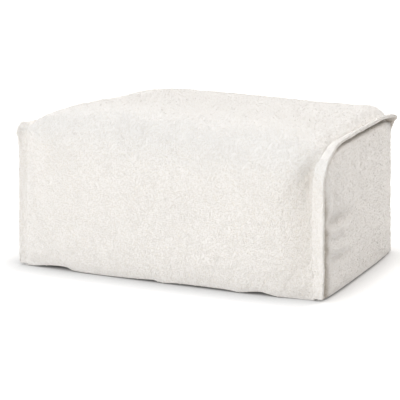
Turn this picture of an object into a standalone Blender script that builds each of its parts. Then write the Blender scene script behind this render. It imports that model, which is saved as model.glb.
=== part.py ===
"""Square pouf: a filled block in off-white looped cloth, with a flanged seam round each end panel.

One length of cloth runs up the front, over the top and down the back. A panel closes each end, and
the two are sewn together with their seam allowance standing out as a soft flange, from the floor up
the front edge, over the top and down the back edge. A base panel lies under the block.

Units are metres and +Z is up. The origin is on the floor under the middle of the pouf. The long
front faces -Y, and +X runs along it from the left end panel to the right one.
"""

import math
from typing import NamedTuple

import bmesh
import bpy

# Driving sizes, in metres
WIDTH = 0.83
DEPTH = 0.572
HEIGHT = 0.385
HALF_WIDTH = WIDTH / 2
HALF_DEPTH = DEPTH / 2
GAP = 0.0003

# The filling settles, so the pouf is wider and deeper at the floor than at its top by this share
SPREAD = 0.019

# Swelling of the cloth beside each end seam, where the filling pushes it out, which fades at the floor
PUFF = 0.0065
PUFF_REACH = 0.013
PUFF_FLOOR_FADE = 0.02

# Share of the bulge that is left at the floor and at the top, and of the top's crown at its edges
BULGE_AT_EDGE = 0.65
CROWN_AT_EDGE = 0.75

# Cross-sections along the block, and straight or curved steps along each stretch of one
BLOCK_STATIONS = 32
BLOCK_STEPS = {"front": 9, "roll": 9, "top": 9, "back_roll": 6, "back": 8, "foot": 3, "floor": 2}
SEAM_STEPS = {"front": 9, "roll": 12, "top": 10, "back_roll": 8, "back": 8}

# Lower hem of the block: it hangs just clear of the floor round the base panel
HEM_CLEARANCE = 0.0006
LIFT_HEIGHT = 0.09
LIFT_DEPTH = 0.08

# Base panel, let into the underside
BASE_THICKNESS = 0.0025
BASE_INSET = 0.032
BASE_CORNER = 0.030
BASE_CORNER_STEPS = 6
RECESS_STEP = 0.0008

# End panels: the bulge behind each is fullest at a share of its height, and has a rounded foot
PANEL_HEM = 0.0008
PANEL_RIM = 0.003
PANEL_BULGE = 0.028
PANEL_POWER = 3.2
PANEL_EASE = 0.75
PANEL_FULLEST = 0.40
PANEL_FLOOR_SHARE = 0.72
PANEL_FOOT = 0.013
PANEL_STATIONS = 28
PANEL_STEPS = 15
CREASE_FADE = 0.010

# Flange round each end panel
FLANGE_THICKNESS = 0.007
FLANGE_FOOT = 0.0045

SHARP_ANGLE = 50.0
TINY = 1e-9


class Section(NamedTuple):
    """One cross-section of the block. across is the share of the half width, the rest are metres.

    front, crown and back are how far the filling pushes each face out. roll_depth and roll_drop are
    the size of the soft front edge along the top and down the front, and back_roll and foot are the
    radii of the back edge and of the edges at the floor. lean is how far the top seam rises towards
    the back and falls towards the front.
    """

    across: float
    front: float
    crown: float
    back: float
    roll_depth: float
    roll_drop: float
    back_roll: float
    lean: float
    foot: float


SECTIONS = (
    Section(-1.00, 0.000, 0.000, 0.000, 0.020, 0.020, 0.040, 0.000, 0.003),
    Section(-0.93, 0.006, 0.024, 0.007, 0.046, 0.042, 0.038, 0.000, 0.005),
    Section(-0.78, 0.013, 0.044, 0.015, 0.083, 0.074, 0.042, 0.000, 0.006),
    Section(-0.40, 0.020, 0.055, 0.020, 0.110, 0.097, 0.046, 0.000, 0.007),
    Section(0.00, 0.024, 0.050, 0.022, 0.125, 0.102, 0.048, 0.002, 0.007),
    Section(0.45, 0.023, 0.040, 0.019, 0.134, 0.101, 0.044, 0.003, 0.007),
    Section(0.78, 0.015, 0.029, 0.014, 0.148, 0.097, 0.035, 0.006, 0.006),
    Section(0.93, 0.007, 0.016, 0.007, 0.152, 0.096, 0.026, 0.009, 0.005),
    Section(1.00, 0.000, 0.000, 0.000, 0.152, 0.096, 0.016, 0.009, 0.003),
)


class Lift(NamedTuple):
    """How far the front hem stands off the floor at a place along the width, in metres."""

    x: float
    lift: float


FRONT_HEM = (
    Lift(-0.415, 0.0000),
    Lift(-0.387, 0.0014),
    Lift(-0.343, 0.0065),
    Lift(-0.304, 0.0085),
    Lift(-0.284, 0.0081),
    Lift(-0.266, 0.0028),
    Lift(-0.240, 0.0006),
    Lift(-0.184, 0.0000),
    Lift(-0.115, 0.0009),
    Lift(-0.051, 0.0024),
    Lift(-0.028, 0.0007),
    Lift(0.000, 0.0000),
    Lift(0.065, 0.0015),
    Lift(0.184, 0.0007),
    Lift(0.242, 0.0020),
    Lift(0.275, 0.0037),
    Lift(0.293, 0.0005),
    Lift(0.415, 0.0000),
)


class Fold(NamedTuple):
    """A soft trough in one face, or a ridge where depth is negative.

    p and q are its middle in the face's own plane: x and z on the front, x and y on the top, and
    y and z on the right and left end panels. turn is in degrees from p towards q.
    """

    face: str
    p: float
    q: float
    turn: float
    half_length: float
    half_width: float
    depth: float


FOLDS = (
    Fold("front", 0.389, 0.300, 86.0, 0.065, 0.022, 0.0120),
    Fold("front", 0.355, 0.212, 84.0, 0.157, 0.046, 0.0055),
    Fold("top", 0.374, -0.111, 88.0, 0.120, 0.031, 0.0085),
    Fold("right", -0.217, 0.218, -3.0, 0.069, 0.015, 0.0065),
    Fold("right", -0.198, 0.190, 0.0, 0.078, 0.011, -0.0030),
    Fold("right", -0.207, 0.169, 0.0, 0.065, 0.010, 0.0045),
    Fold("right", -0.184, 0.146, -3.0, 0.083, 0.012, -0.0030),
    Fold("right", -0.198, 0.120, -3.0, 0.074, 0.013, 0.0035),
)


class Edge(NamedTuple):
    """Flange at a share of the way along its seam, from the front floor to the back floor."""

    along: float
    reach: float
    flare: float


RIGHT_FLANGE = (
    Edge(0.00, 0.019, 16.0),
    Edge(0.06, 0.022, 20.0),
    Edge(0.22, 0.022, 20.0),
    Edge(0.34, 0.021, 24.0),
    Edge(0.46, 0.022, 22.0),
    Edge(0.60, 0.022, 18.0),
    Edge(0.675, 0.024, 24.0),
    Edge(0.700, 0.031, 42.0),
    Edge(0.722, 0.021, 26.0),
    Edge(0.750, 0.014, 13.0),
    Edge(0.84, 0.021, 18.0),
    Edge(1.00, 0.021, 18.0),
)

LEFT_FLANGE = (
    Edge(0.00, 0.021, 18.0),
    Edge(0.08, 0.022, 20.0),
    Edge(0.22, 0.022, 22.0),
    Edge(0.262, 0.023, 28.0),
    Edge(0.285, 0.028, 42.0),
    Edge(0.31, 0.022, 24.0),
    Edge(0.45, 0.021, 18.0),
    Edge(0.65, 0.022, 20.0),
    Edge(0.71, 0.023, 26.0),
    Edge(0.78, 0.021, 20.0),
    Edge(1.00, 0.020, 18.0),
)


# Cross-section of the flange: share of its reach, and depth under its outer face in thicknesses
FLANGE_PROFILE = (
    (0.00, 1.00),
    (0.35, 1.00),
    (0.72, 0.98),
    (0.96, 0.72),
    (1.00, 0.50),
    (0.96, 0.28),
    (0.72, 0.02),
    (0.35, 0.00),
    (0.00, 0.00),
)


def monotone_slope(before, after, span_before, span_after):
    """Tangent that keeps a curve through three values from overshooting the middle one."""
    if before * after <= 0:
        return 0.0
    weight_before = 2 * span_after + span_before
    weight_after = span_after + 2 * span_before
    return (weight_before + weight_after) / (weight_before / before + weight_after / after)


def read_column(rows, column, at):
    """Value of one column of a table at a place between its rows, on a smooth curve."""
    places = [row[0] for row in rows]
    values = [row[column] for row in rows]
    at = min(max(at, places[0]), places[-1])
    last = len(rows) - 1
    index = max(i for i in range(last) if places[i] <= at)
    spans = [places[i + 1] - places[i] for i in range(last)]
    rises = [(values[i + 1] - values[i]) / spans[i] for i in range(last)]

    def tangent(i):
        if i in (0, last):
            return rises[min(i, last - 1)]
        return monotone_slope(rises[i - 1], rises[i], spans[i - 1], spans[i])

    span = spans[index]
    t = (at - places[index]) / span
    start = values[index] * (1 + 2 * t) * (1 - t) ** 2 + tangent(index) * span * t * (1 - t) ** 2
    end = values[index + 1] * t * t * (3 - 2 * t) - tangent(index + 1) * span * t * t * (1 - t)
    return start + end


def read_row(rows, at):
    """Every column of a table at a place between its rows, as a row."""
    kind = type(rows[0])
    return kind(at, *(read_column(rows, c, at) for c in range(1, len(kind._fields))))


def arc(centre, radii, start, end, steps):
    """(y, z) points of an elliptical arc, in degrees from +Y towards +Z, without its first point."""
    points = []
    for i in range(1, steps + 1):
        angle = math.radians(start + (end - start) * i / steps)
        points.append((centre[0] + radii[0] * math.cos(angle), centre[1] + radii[1] * math.sin(angle)))
    return points


def line(start, end, steps):
    """(y, z) points of a straight run, without its first point."""
    return [
        (start[0] + (end[0] - start[0]) * i / steps, start[1] + (end[1] - start[1]) * i / steps)
        for i in range(1, steps + 1)
    ]


def over_the_top(section, foot, steps):
    """(y, z) points from the foot of the front, up it, over the top and down to the back's foot."""
    depth, drop, back_roll = section.roll_depth, section.roll_drop, section.back_roll
    points = [(-HALF_DEPTH, foot)]
    points += line(points[-1], (-HALF_DEPTH, HEIGHT - drop), steps["front"])
    points += arc((depth - HALF_DEPTH, HEIGHT - drop), (depth, drop), 180, 90, steps["roll"])
    points += line(points[-1], (HALF_DEPTH - back_roll, HEIGHT), steps["top"])
    back_centre = (HALF_DEPTH - back_roll, HEIGHT - back_roll)
    points += arc(back_centre, (back_roll, back_roll), 90, 0, steps["back_roll"])
    points += line(points[-1], (HALF_DEPTH, foot), steps["back"])
    return points


def outward(points, index):
    """Unit (y, z) normal of an outline at one of its points, away from the filling."""
    before = points[max(index - 1, 0)]
    after = points[min(index + 1, len(points) - 1)]
    dy, dz = after[0] - before[0], after[1] - before[1]
    length = math.hypot(dy, dz)
    return -dz / length, dy / length


def lean_of(section, y, z):
    """Rise of a point of the outline where the seam's top slopes up towards the back."""
    return section.lean * (y / HALF_DEPTH) * (z / HEIGHT) ** 2


def crowned(section, x, y, z, normal):
    """(y, z) of an outline's point once the filling has pushed the cloth out."""
    level = min(max(z / HEIGHT, 0.0), 1.0)
    across = min(max(y / HALF_DEPTH, -1.0), 1.0)
    face = BULGE_AT_EDGE + (1 - BULGE_AT_EDGE) * math.sin(math.pi * level)
    front = section.front * face * max(-across, 0.0)
    back = section.back * face * max(across, 0.0)
    crown = section.crown * (1 - (1 - CROWN_AT_EDGE) * across**4) * level**3
    from_seam = HALF_WIDTH - abs(x)
    puff = PUFF * (1 - math.exp(-from_seam / PUFF_REACH)) * (1 - math.exp(-z / PUFF_FLOOR_FADE))
    return (
        y - front + back + puff * normal[0],
        z + crown + lean_of(section, y, z) + puff * normal[1],
    )


def fold_depth(face, p, q):
    """Depth of all the folds of one face at a point of its plane."""
    depth = 0.0
    for fold in FOLDS:
        if fold.face != face:
            continue
        turn = math.radians(fold.turn)
        dp, dq = p - fold.p, q - fold.q
        along = (dp * math.cos(turn) + dq * math.sin(turn)) / fold.half_length
        over = (dq * math.cos(turn) - dp * math.sin(turn)) / fold.half_width
        depth += fold.depth * math.exp(-(along**2) - over**2)
    return depth


def hem_rise(x, y, z):
    """Rise of a point near the front hem, where the cloth stands off the floor."""
    low = max(1 - z / LIFT_HEIGHT, 0.0)
    near = min(max(1 - (y + HALF_DEPTH) / LIFT_DEPTH, 0.0), 1.0)
    return read_column(FRONT_HEM, 1, x) * low**2 * near


def block_outline(section):
    """(y, z) points of the block's cloth from under its front foot, over the top, to under its back foot."""
    foot = section.foot
    radii = (foot, foot - HEM_CLEARANCE)
    points = [(foot - HALF_DEPTH, HEM_CLEARANCE)]
    points += arc((foot - HALF_DEPTH, foot), radii, -90, -180, BLOCK_STEPS["foot"])
    points += over_the_top(section, foot, BLOCK_STEPS)[1:]
    points += arc((HALF_DEPTH - foot, foot), radii, 0, -90, BLOCK_STEPS["foot"])
    return points


def under_side(start, end, deep):
    """(y, z) points along the underside between two ends, with the recess for the base panel."""
    recess_y = HALF_DEPTH - BASE_INSET
    points = line(start, (recess_y + RECESS_STEP, HEM_CLEARANCE), BLOCK_STEPS["floor"])
    points.append((recess_y, deep))
    points += line(points[-1], (-recess_y, deep), BLOCK_STEPS["floor"])
    points.append((-recess_y - RECESS_STEP, HEM_CLEARANCE))
    points += line(points[-1], end, BLOCK_STEPS["floor"])[:-1]
    return points


def block_section(x):
    """Closed ring of (x, y, z) points of the filled block at a place along its width."""
    section = read_row(SECTIONS, x / HALF_WIDTH)
    outline = block_outline(section)
    points = []
    for i, (y, z) in enumerate(outline):
        normal = outward(outline, i)
        new_y, new_z = crowned(section, x, y, z, normal)
        new_y += max(-normal[0], 0.0) * fold_depth("front", x, new_z)
        new_z -= max(normal[1], 0.0) * fold_depth("top", x, new_y)
        points.append((new_y, new_z))
    over_base = abs(x) < HALF_WIDTH - BASE_INSET
    deep = BASE_THICKNESS + GAP if over_base else HEM_CLEARANCE
    points += under_side(points[-1], points[0], deep)
    return [(x, y, z + hem_rise(x, y, z)) for y, z in points]


def block_stations():
    """Places of the block's cross-sections along the width, closest together beside the seams."""
    shares = [i / BLOCK_STATIONS - 0.5 for i in range(BLOCK_STATIONS + 1)]
    places = [HALF_WIDTH * math.sin(math.pi * share) for share in shares]
    recess_x = HALF_WIDTH - BASE_INSET
    for side in (-1, 1):
        places += [side * (recess_x - RECESS_STEP), side * (recess_x + RECESS_STEP)]
    return sorted(places)


def seam_line(side, foot):
    """(y, z) points of an end seam and their outward normals, from the front floor to the back floor."""
    section = SECTIONS[0] if side < 0 else SECTIONS[-1]
    flat = over_the_top(section, foot, SEAM_STEPS)
    points = [(y, z + lean_of(section, y, z)) for y, z in flat]
    return points, [outward(points, i) for i in range(len(points))]


def ring_mesh(name, rings, material):
    """Closed object through rings of points, each ring with the same number of them."""
    count = len(rings[0])
    vertices = [point for ring in rings for point in ring]
    faces = []
    for r in range(len(rings) - 1):
        for i in range(count):
            j = (i + 1) % count
            faces.append((r * count + i, r * count + j, (r + 1) * count + j, (r + 1) * count + i))
    faces.append(tuple(range(count)))
    faces.append(tuple((len(rings) - 1) * count + i for i in range(count)))
    return add_object(name, vertices, faces, material)


def settled(point):
    """Moves a point outwards with the filling, which spreads towards the floor."""
    x, y, z = point
    spread = 1 + SPREAD * (1 - z / HEIGHT)
    return x * spread, y * spread, z


def add_object(name, vertices, faces, material):
    """Mesh object with its faces turned outwards, shaded smooth."""
    mesh = bpy.data.meshes.new(name)
    mesh.from_pydata([settled(v) for v in vertices], [], faces)
    mesh.validate()
    obj = bpy.data.objects.new(name, mesh)
    bpy.context.scene.collection.objects.link(obj)
    turn_outwards(mesh)
    mesh.shade_smooth()
    mesh.set_sharp_from_angle(angle=math.radians(SHARP_ANGLE))
    mesh.materials.append(material)
    return obj


def turn_outwards(mesh):
    """Recalculates a closed mesh's normals to point out of it."""
    work = bmesh.new()
    work.from_mesh(mesh)
    bmesh.ops.recalc_face_normals(work, faces=work.faces[:])
    work.to_mesh(mesh)
    work.free()


def cloth_material(name, colour, roughness):
    """Principled material of one cloth."""
    material = bpy.data.materials.new(name)
    material.use_nodes = True
    shader = material.node_tree.nodes["Principled BSDF"]
    shader.inputs["Base Color"].default_value = (*colour, 1.0)
    shader.inputs["Roughness"].default_value = roughness
    shader.inputs["Metallic"].default_value = 0.0
    return material


def build_block(material):
    """The filled block: front, top and back in one length of cloth."""
    return ring_mesh("filled_block", [block_section(x) for x in block_stations()], material)


def build_flange(name, side, table, material):
    """The seam allowance standing round one end panel, as one strip from floor to floor."""
    points, normals = seam_line(side, FLANGE_FOOT)
    lengths = [0.0]
    for (y0, z0), (y1, z1) in zip(points, points[1:]):
        lengths.append(lengths[-1] + math.hypot(y1 - y0, z1 - z0))
    root_x = HALF_WIDTH + GAP
    rings = []
    for (y, z), (ny, nz), length in zip(points, normals, lengths):
        edge = read_row(table, length / lengths[-1])
        flare = math.radians(edge.flare)
        ring = []
        for share, inset in FLANGE_PROFILE:
            turn = flare if share > 0 else 0.0
            reach = edge.reach * share
            thick = FLANGE_THICKNESS * inset
            out = reach * math.sin(turn) - thick * math.cos(turn)
            away = reach * math.cos(turn) + thick * math.sin(turn)
            ring.append((side * (root_x + away), y + ny * out, z + nz * out))
        rings.append(ring)
    return ring_mesh(name, rings, material)


def panel_height(y, z, top):
    """Bulge of an end panel at a point: none at its seam, the most of it low down, with a rounded foot."""
    across = min(abs(y) / (HALF_DEPTH - FLANGE_THICKNESS), 1.0)
    fullest = PANEL_FULLEST * top
    if z > fullest:
        upright = 1 - ((z - fullest) / (top - fullest)) ** PANEL_POWER
    else:
        upright = 1 - (1 - PANEL_FLOOR_SHARE) * ((fullest - z) / fullest) ** 2
    ease = max((1 - across**PANEL_POWER) * max(upright, 0.0), 0.0) ** PANEL_EASE
    under = max(1 - z / PANEL_FOOT, 0.0)
    return PANEL_BULGE * ease * (1 - under**2) ** 0.5


def panel_top(side):
    """(y, z) points of an end panel's upper edge, inside the flange, from front to back."""
    points, normals = seam_line(side, PANEL_HEM)
    inset = FLANGE_THICKNESS + 2 * GAP
    return [(y - ny * inset, z - nz * inset) for (y, z), (ny, nz) in zip(points, normals)]


def build_panel(name, side, material):
    """One end panel with the filling's bulge behind it, seated on the block inside the flange."""
    edge = panel_top(side)
    face = "right" if side > 0 else "left"
    back_x = HALF_WIDTH + GAP
    start, end = edge[0][0], edge[-1][0]
    rings = []
    for i in range(PANEL_STATIONS + 1):
        y = (start + end) / 2 - (end - start) / 2 * math.cos(math.pi * i / PANEL_STATIONS)
        top = height_at(edge, y)
        ring = [(back_x, PANEL_HEM), (back_x, top)]
        for k in range(PANEL_STEPS + 1):
            z = PANEL_HEM + (top - PANEL_HEM) * (1 + math.cos(math.pi * k / PANEL_STEPS)) / 2
            bulge = panel_height(y, z, top)
            crease = fold_depth(face, y, z) * min(bulge / CREASE_FADE, 1.0)
            ring.append((back_x + PANEL_RIM + max(bulge - crease, 0.0), z))
        rings.append([(side * x, y, z) for x, z in ring])
    return ring_mesh(name, rings, material)


def height_at(edge, y):
    """Height of a panel's upper edge over a place along its depth."""
    best = 0.0
    for (y0, z0), (y1, z1) in zip(edge, edge[1:]):
        if min(y0, y1) - TINY <= y <= max(y0, y1) + TINY:
            share = 0.5 if abs(y1 - y0) < TINY else (y - y0) / (y1 - y0)
            best = max(best, z0 + (z1 - z0) * share)
    return best


def build_base(material):
    """The flat base panel that the pouf stands on."""
    half_x = HALF_WIDTH - BASE_INSET - 2 * RECESS_STEP
    half_y = HALF_DEPTH - BASE_INSET - RECESS_STEP
    corner = BASE_CORNER
    outline = []
    for quarter, (sx, sy) in enumerate(((1, 1), (-1, 1), (-1, -1), (1, -1))):
        centre = (sx * (half_x - corner), sy * (half_y - corner))
        for i in range(BASE_CORNER_STEPS + 1):
            angle = math.radians(90 * quarter + 90 * i / BASE_CORNER_STEPS)
            outline.append((centre[0] + corner * math.cos(angle), centre[1] + corner * math.sin(angle)))
    rings = [[(x, y, z) for x, y in outline] for z in (0.0, BASE_THICKNESS)]
    return ring_mesh("base_panel", rings, material)


def main():
    """Clears the file and builds every piece of the pouf."""
    for obj in list(bpy.data.objects):
        bpy.data.objects.remove(obj)
    looped = cloth_material("looped_cloth", (0.80, 0.77, 0.71), 0.95)
    plain = cloth_material("base_cloth", (0.62, 0.59, 0.54), 0.9)
    build_block(looped)
    build_panel("end_panel_left", -1, looped)
    build_panel("end_panel_right", 1, looped)
    build_flange("flange_left", -1, LEFT_FLANGE, looped)
    build_flange("flange_right", 1, RIGHT_FLANGE, looped)
    build_base(plain)


main()
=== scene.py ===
"""Square pouf in off-white looped cloth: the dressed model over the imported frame.

One length of cloth runs up the front, over the crowned top and down the back. A panel closes each
end, and the two are sewn with their seam allowance standing out as a soft flange. The filling is
pressed out by a cloth simulation, the loops of the cloth's surface and the stitches are laid by
Geometry Nodes, and a plain woven base closes the underside.

Units are metres, +Z is up, the long front faces -Y and the origin is on the floor under the middle.
"""

import logging
import math
from dataclasses import dataclass
from enum import Enum
from typing import Callable, NamedTuple, Sequence

import bmesh
import bpy
import numpy as np
from mathutils import Matrix, Vector, noise
from mathutils.kdtree import KDTree


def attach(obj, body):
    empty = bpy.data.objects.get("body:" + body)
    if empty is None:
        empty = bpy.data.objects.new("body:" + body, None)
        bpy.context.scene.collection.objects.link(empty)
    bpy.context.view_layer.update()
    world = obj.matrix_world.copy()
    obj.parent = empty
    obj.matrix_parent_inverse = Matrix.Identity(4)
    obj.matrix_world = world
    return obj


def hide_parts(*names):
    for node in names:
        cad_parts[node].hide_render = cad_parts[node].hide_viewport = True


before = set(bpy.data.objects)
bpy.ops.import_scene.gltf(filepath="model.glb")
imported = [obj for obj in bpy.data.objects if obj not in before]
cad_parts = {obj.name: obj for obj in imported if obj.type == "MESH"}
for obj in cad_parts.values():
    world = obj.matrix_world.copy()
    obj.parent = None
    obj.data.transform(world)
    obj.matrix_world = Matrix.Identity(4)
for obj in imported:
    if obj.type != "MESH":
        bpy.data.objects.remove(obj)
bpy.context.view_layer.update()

LOG = logging.getLogger("square_pouf")
# Point attribute for the painted shade down in the folds and creases, from 0 to 1, and the colour that the
# cloth's colour is multiplied by where that painted shade is full
PAINTED_SHADE_ATTRIBUTE = "fold"
PAINTED_SHADE_TINT = (0.62, 0.57, 0.51)
# How the yarn's soft fuzz takes the light, on the cloth and on its loops
PILE_BLOOM = {"Specular IOR Level": 0.2, "Sheen Weight": 0.7, "Sheen Roughness": 0.6}
# Heights in metres: the least of any cloth, and the one below which the cloth stays as cut
FLOOR_CLEARANCE = 0.0003
HELD_HEIGHT = 0.004
# Where the end seams and the flanges start over the floor
SEAM_FOOT = 0.0008
FLANGE_FOOT = 0.0045
# The row of stitches: how far outside the seam line, and how far past the block's end
STITCH_LIFT = 0.0009
STITCH_OUT = 0.0012
# How many steps each stretch of the seams' outline and of the block's outline takes
SEAM_STEPS = {"front": 46, "roll": 34, "top": 66, "back_roll": 16, "back": 56}
BLOCK_STEPS = {"front": 30, "roll": 20, "top": 40, "back_roll": 8, "back": 28}
Socket = bpy.types.NodeSocket


class End(Enum):
    """The two ends of the pouf, each by its side along the width."""

    LEFT = -1
    RIGHT = 1


class Face(Enum):
    """Faces of the pouf that a crease can lie in."""

    FRONT = "front"
    TOP = "top"
    RIGHT = "right"
    LEFT = "left"


class Section(NamedTuple):
    """One cross-section of the block. across is the share of the half width, the rest are metres.

    front, crown and back are how far the filling pushes each face out. roll_depth and roll_drop are
    the size of the soft front edge, back_roll and foot the radii of the back edge and of the edges
    at the floor, and lean is how far the top seam rises towards the back.
    """

    across: float
    front: float
    crown: float
    back: float
    roll_depth: float
    roll_drop: float
    back_roll: float
    lean: float
    foot: float


SECTIONS = (
    Section(-1.00, 0.000, 0.000, 0.000, 0.020, 0.020, 0.040, 0.000, 0.003),
    Section(-0.93, 0.006, 0.020, 0.007, 0.046, 0.042, 0.038, 0.000, 0.005),
    Section(-0.78, 0.013, 0.041, 0.015, 0.083, 0.074, 0.042, 0.000, 0.006),
    Section(-0.40, 0.020, 0.055, 0.020, 0.110, 0.097, 0.046, 0.000, 0.007),
    Section(0.00, 0.024, 0.050, 0.022, 0.125, 0.102, 0.048, 0.002, 0.007),
    Section(0.45, 0.023, 0.040, 0.019, 0.134, 0.101, 0.044, 0.003, 0.007),
    Section(0.78, 0.015, 0.029, 0.014, 0.148, 0.097, 0.035, 0.006, 0.006),
    Section(0.93, 0.007, 0.021, 0.007, 0.152, 0.096, 0.020, 0.009, 0.005),
    Section(1.00, 0.000, 0.000, 0.000, 0.152, 0.096, 0.015, 0.009, 0.003),
)

# How far the front hem stands off the floor, as pairs of place along the width and lift, in metres
FRONT_HEM = (
    (-0.415, 0.0000), (-0.390, 0.0012), (-0.343, 0.0078), (-0.304, 0.0100),
    (-0.284, 0.0092), (-0.266, 0.0026), (-0.240, 0.0006), (-0.184, 0.0003),
    (-0.115, 0.0012), (-0.060, 0.0034), (-0.022, 0.0052), (-0.004, 0.0010),
    (0.008, 0.0006), (0.040, 0.0036), (0.110, 0.0042), (0.184, 0.0034),
    (0.216, 0.0006), (0.242, 0.0046), (0.272, 0.0082), (0.296, 0.0040),
    (0.318, 0.0004), (0.415, 0.0000),
)


class Crease(NamedTuple):
    """A soft trough in one face, or a ridge where depth is negative, in metres.

    p and q are its middle in the face's own plane: x and z on the front, x and y on the top, and
    y and z on the end panels. turn is in degrees from p towards q.
    """

    face: Face
    p: float
    q: float
    turn: float
    half_length: float
    half_width: float
    depth: float


CREASES = (
    Crease(Face.FRONT, 0.396, 0.305, 82.0, 0.054, 0.022, 0.0175),
    Crease(Face.FRONT, 0.392, 0.175, 88.0, 0.200, 0.052, 0.0120),
    Crease(Face.TOP, 0.374, -0.111, 88.0, 0.120, 0.031, 0.0085),
    Crease(Face.RIGHT, -0.205, 0.193, 4.0, 0.074, 0.0125, 0.0120),
    Crease(Face.RIGHT, -0.200, 0.169, 2.0, 0.080, 0.0100, -0.0040),
    Crease(Face.RIGHT, -0.208, 0.147, 0.0, 0.070, 0.0095, 0.0035),
    Crease(Face.RIGHT, -0.195, 0.119, -2.0, 0.080, 0.0100, -0.0050),
    Crease(Face.RIGHT, -0.200, 0.097, -3.0, 0.072, 0.0110, 0.0070),
    Crease(Face.RIGHT, -0.225, 0.245, 84.0, 0.050, 0.0140, 0.0040),
)


class Stand(NamedTuple):
    """The flange at a share of the way along its seam: its reach in metres and flare in degrees."""

    along: float
    reach: float
    flare: float


FLANGE_STANDS = {
    End.RIGHT: (
        Stand(0.00, 0.019, 10.0), Stand(0.06, 0.021, 10.0), Stand(0.22, 0.021, 11.0),
        Stand(0.34, 0.021, 18.0), Stand(0.46, 0.023, 28.0), Stand(0.60, 0.023, 30.0),
        Stand(0.675, 0.026, 18.0), Stand(0.697, 0.033, 3.0), Stand(0.712, 0.020, 12.0),
        Stand(0.740, 0.012, 26.0), Stand(0.84, 0.012, 30.0), Stand(1.00, 0.013, 26.0),
    ),
    End.LEFT: (
        Stand(0.00, 0.021, 8.0), Stand(0.08, 0.022, 9.0), Stand(0.22, 0.022, 11.0),
        Stand(0.262, 0.023, 17.0), Stand(0.285, 0.026, 28.0), Stand(0.31, 0.022, 20.0),
        Stand(0.45, 0.021, 18.0), Stand(0.65, 0.022, 20.0), Stand(0.71, 0.023, 26.0),
        Stand(0.78, 0.021, 20.0), Stand(1.00, 0.020, 18.0),
    ),
}


def read_curve(places: Sequence[float], values: Sequence[float], at: np.ndarray) -> np.ndarray:
    """Reads a smooth curve through a table that never overshoots the table's values.

    Args:
        places: The table's places, rising.
        values: The table's value at each place.
        at: Where to read the curve.

    Returns:
        The curve's value at each place asked for.
    """
    places = np.asarray(places, float)
    values = np.asarray(values, float)
    spans = np.diff(places)
    rises = np.diff(values) / spans
    tangents = np.concatenate([rises[:1], np.zeros(len(values) - 2), rises[-1:]])
    for i in range(1, len(values) - 1):
        before, after = rises[i - 1], rises[i]
        if before * after > 0:
            weight_before = 2 * spans[i] + spans[i - 1]
            weight_after = spans[i] + 2 * spans[i - 1]
            tangents[i] = (weight_before + weight_after) / (weight_before / before + weight_after / after)
    at = np.clip(np.asarray(at, float), places[0], places[-1])
    index = np.clip(np.searchsorted(places, at, side="right") - 1, 0, len(spans) - 1)
    span = spans[index]
    t = (at - places[index]) / span
    start = values[index] * (1 + 2 * t) * (1 - t) ** 2 + tangents[index] * span * t * (1 - t) ** 2
    end = values[index + 1] * t * t * (3 - 2 * t) - tangents[index + 1] * span * t * t * (1 - t)
    return start + end


def straight(start: np.ndarray, end: np.ndarray, steps: int) -> np.ndarray:
    """Returns the points of a straight run, without its first point."""
    shares = np.arange(1, steps + 1)[:, None] / steps
    return start + (end - start) * shares


def curved(centre: np.ndarray, radii: np.ndarray, start: float, end: float, steps: int) -> np.ndarray:
    """Returns the (y, z) points of an elliptical arc in degrees, without its first point."""
    angles = np.radians(start + (end - start) * np.arange(1, steps + 1) / steps)
    return centre + radii * np.stack([np.cos(angles), np.sin(angles)], axis=1)


def outward(points: np.ndarray) -> np.ndarray:
    """Returns the unit (y, z) normals of an outline, away from the filling."""
    step = np.empty_like(points)
    step[1:-1] = points[2:] - points[:-2]
    step[0] = points[1] - points[0]
    step[-1] = points[-1] - points[-2]
    step /= np.linalg.norm(step, axis=1, keepdims=True)
    return np.stack([-step[:, 1], step[:, 0]], axis=1)


def uneven(points: np.ndarray, cell: float, seed: float) -> np.ndarray:
    """Smooth unevenness over points.

    Args:
        points: Places in metres, three to a row.
        cell: Rough size of one swelling or hollow in metres.
        seed: Picks one pattern.

    Returns:
        A value from about -1 to 1 at each point.
    """
    places = points / cell + seed
    return np.array([noise.noise(Vector(place)) for place in places])


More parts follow.
